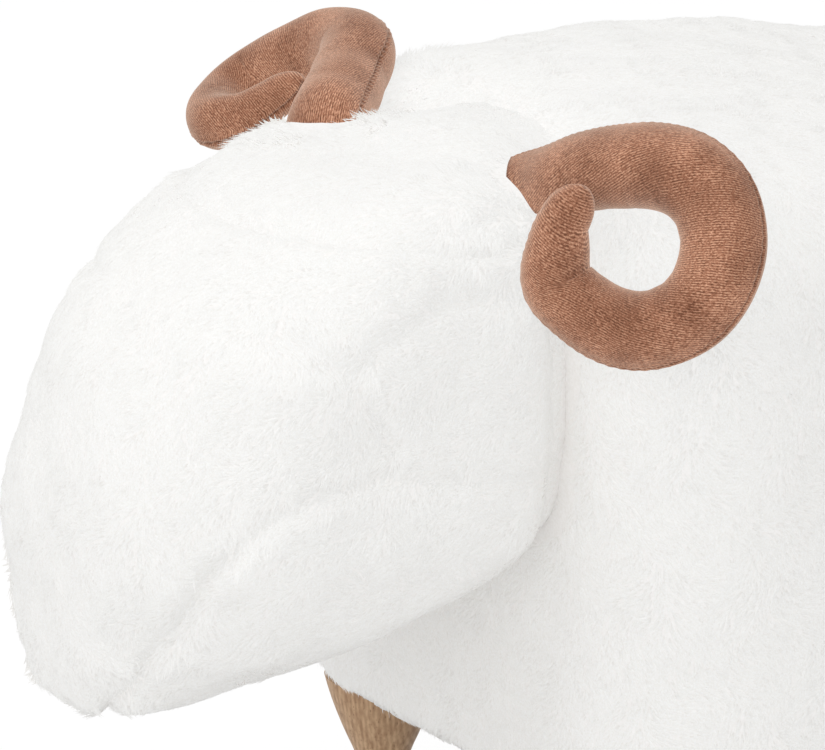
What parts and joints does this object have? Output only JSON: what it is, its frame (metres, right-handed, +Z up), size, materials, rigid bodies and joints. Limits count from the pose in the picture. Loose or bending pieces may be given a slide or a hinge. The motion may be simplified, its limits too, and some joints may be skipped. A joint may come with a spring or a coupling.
{
  "type": "animal footstool",
  "caption": "Low stool shaped as a standing ram, with a plush body and hanging head, curled velvet horns and turned wooden legs, for sitting or resting the feet.",
  "frame": {"origin": "on the floor, under the middle of the whole outline", "axes": "+Z up, -Y the way the animal faces, +X its left side; +Y runs to the tail along the longest side"},
  "size_m": [0.3885, 0.6483, 0.4183],
  "materials": {
    "plush": "short white pile in soft clumps",
    "velvet": "brown ribbed velvet with a soft sheen",
    "filling": "loose polyester fibre",
    "foam": "cut open-cell foam",
    "frame_wood": "raw plywood",
    "fastener_steel": "zinc plated",
    "lining": "black non-woven cloth",
    "leg_wood": "light wood with a satin lacquer",
    "glide_plastic": "off-white nylon"
  },
  "bodies": {
    "root": {"body_cover": "plush", "head_cover": "plush", "tail_cover": "plush", "horn_left_cover": "velvet", "horn_right_cover": "velvet", "head_filling": "filling", "tail_filling": "filling", "horn_left_filling": "filling", "horn_right_filling": "filling", "seat_foam": "foam", "foam_left": "foam", "foam_right": "foam", "foam_front": "foam", "foam_rear": "foam", "base_board": "frame_wood", "seat_board": "frame_wood", "side_rail_left": "frame_wood", "side_rail_right": "frame_wood", "end_rail_front": "frame_wood", "end_rail_rear": "frame_wood", "centre_rib": "frame_wood", "corner_blocks": "frame_wood", "frame_screws": "fastener_steel", "hanger_bolts": "fastener_steel", "tee_nuts": "fastener_steel", "staples": "fastener_steel", "lining": "lining", "leg_front_left": "leg_wood", "leg_rear_left": "leg_wood", "leg_front_right": "leg_wood", "leg_rear_right": "leg_wood", "glides": "glide_plastic"}
  },
  "joints": []
}
